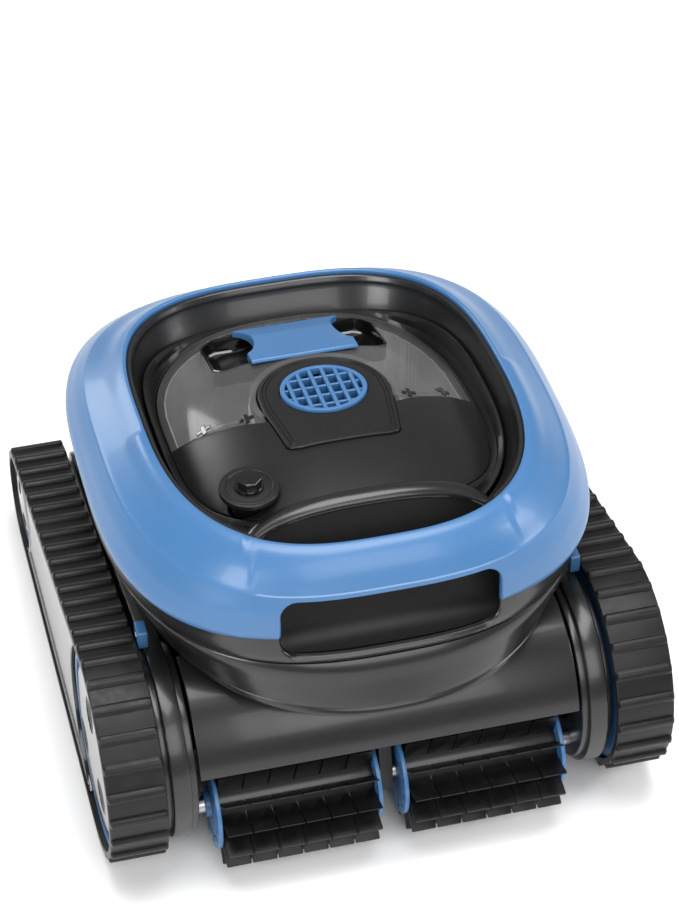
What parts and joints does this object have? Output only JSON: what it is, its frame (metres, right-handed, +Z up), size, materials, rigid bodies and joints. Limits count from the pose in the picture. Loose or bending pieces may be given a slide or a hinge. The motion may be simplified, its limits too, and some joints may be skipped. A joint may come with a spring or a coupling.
{
  "type": "pool cleaner",
  "caption": "Cordless robot pool cleaner with ribbed side tracks, front brush rollers, a moulded carry handle and a lift-out filter basket under a smoked lid.",
  "frame": {"origin": "on the ground, under the middle of the overall width and length", "axes": "+X across the width, to the right as seen from the front; the front faces -Y; +Z up; node names ending in left and right are as seen from the front"},
  "size_m": [0.4, 0.4332, 0.2715],
  "materials": {
    "blue_gloss": "glossy mid-blue moulding",
    "satin_black": "satin black moulding",
    "gloss_black": "polished black moulding",
    "rubber_black": "dull black rubber",
    "smoked_clear": "smoke-tinted clear plastic",
    "filter_cloth": "fine white filter mesh",
    "steel": "turned steel",
    "cell_wrap": "blue heat-shrink wrap",
    "board_green": "potted circuit board"
  },
  "bodies": {
    "chassis": {"lower_tub": "satin_black", "intake_nozzle": "satin_black", "upper_band": "satin_black", "top_cover": "blue_gloss", "inner_wall": "satin_black", "well_rim": "gloss_black", "deck_plate": "satin_black", "pump_pad": "satin_black", "outlet_grille": "blue_gloss", "hand_scoop": "satin_black", "grip_liner": "satin_black", "charging_socket": "gloss_black", "front_hood": "gloss_black", "roller_hanger": "satin_black", "pump_column": "satin_black", "pump_motor": "steel", "battery_tray": "satin_black", "battery_pack": "cell_wrap", "control_board": "board_green", "drive_pod_left": "gloss_black", "track_belt_left": "rubber_black", "track_frame_left": "satin_black", "side_skirt_left": "gloss_black", "front_axle_left": "steel", "rear_axle_left": "steel", "drive_motor_left": "steel", "track_bracket_left": "blue_gloss", "drive_pod_right": "gloss_black", "track_belt_right": "rubber_black", "track_frame_right": "satin_black", "side_skirt_right": "gloss_black", "front_axle_right": "steel", "rear_axle_right": "steel", "drive_motor_right": "steel", "track_bracket_right": "blue_gloss"},
    "front_wheel_left_set": {"front_wheel_left": "blue_gloss", "front_hub_cap_left": "gloss_black"},
    "front_wheel_right_set": {"front_wheel_right": "blue_gloss", "front_hub_cap_right": "gloss_black"},
    "rear_wheel_left_set": {"rear_wheel_left": "blue_gloss", "rear_hub_cap_left": "gloss_black"},
    "rear_wheel_right_set": {"rear_wheel_right": "blue_gloss", "rear_hub_cap_right": "gloss_black"},
    "roller_left_set": {"roller_brush_left": "rubber_black", "roller_core_left": "blue_gloss", "roller_disc_left": "blue_gloss"},
    "roller_right_set": {"roller_brush_right": "rubber_black", "roller_core_right": "blue_gloss", "roller_disc_right": "blue_gloss"},
    "pump_rotor": {"impeller": "gloss_black"},
    "cap": {"charging_cap": "gloss_black"},
    "basket": {"basket_frame": "satin_black", "basket_mesh": "filter_cloth", "basket_floor": "satin_black", "lid_knuckle": "smoked_clear"},
    "flap": {"intake_flap": "rubber_black"},
    "lid": {"basket_lid": "smoked_clear", "finger_bowl": "gloss_black", "basket_grip": "blue_gloss"}
  },
  "joints": [
    {"name": "front_wheel_left_spin", "type": "hinge", "parent": "chassis", "child": "front_wheel_left_set", "pos_m": [-0.179, -0.13083, 0.0792], "axis": [1, 0, 0], "continuous": true},
    {"name": "rear_wheel_left_spin", "type": "hinge", "parent": "chassis", "child": "rear_wheel_left_set", "pos_m": [-0.179, 0.17417, 0.0425], "axis": [1, 0, 0], "continuous": true},
    {"name": "roller_left_spin", "type": "hinge", "parent": "chassis", "child": "roller_left_set", "pos_m": [-0.0716, -0.17083, 0.047], "axis": [1, 0, 0], "continuous": true},
    {"name": "front_wheel_right_spin", "type": "hinge", "parent": "chassis", "child": "front_wheel_right_set", "pos_m": [0.179, -0.13083, 0.0792], "axis": [1, 0, 0], "continuous": true},
    {"name": "rear_wheel_right_spin", "type": "hinge", "parent": "chassis", "child": "rear_wheel_right_set", "pos_m": [0.179, 0.17417, 0.0425], "axis": [1, 0, 0], "continuous": true},
    {"name": "roller_right_spin", "type": "hinge", "parent": "chassis", "child": "roller_right_set", "pos_m": [0.0716, -0.17083, 0.047], "axis": [1, 0, 0], "continuous": true},
    {"name": "impeller_spin", "type": "hinge", "parent": "chassis", "child": "pump_rotor", "pos_m": [0, -0.00183, 0.186], "axis": [0, 0, 1], "continuous": true},
    {"name": "cap_pull", "type": "slide", "parent": "chassis", "child": "cap", "axis": [0, 0, 1], "range_m": [0, 0.03]},
    {"name": "basket_lift", "type": "slide", "parent": "chassis", "child": "basket", "axis": [0, 0, 1], "range_m": [0, 0.25]},
    {"name": "intake_flap_swing", "type": "hinge", "parent": "basket", "child": "flap", "pos_m": [0, 0.09117, 0.027], "axis": [-1, 0, 0], "range_deg": [0, 60]},
    {"name": "lid_swing", "type": "hinge", "parent": "basket", "child": "lid", "pos_m": [0, 0.1329, 0.2166], "axis": [-1, 0, 0], "range_deg": [0, 95]}
  ],
  "couplings": [
    {"joint": "rear_wheel_left_spin", "follows": "front_wheel_left_spin", "ratio": 2.0638},
    {"joint": "roller_left_spin", "follows": "front_wheel_left_spin", "ratio": 2},
    {"joint": "rear_wheel_right_spin", "follows": "front_wheel_right_spin", "ratio": 2.0638},
    {"joint": "roller_right_spin", "follows": "front_wheel_right_spin", "ratio": 2}
  ]
}
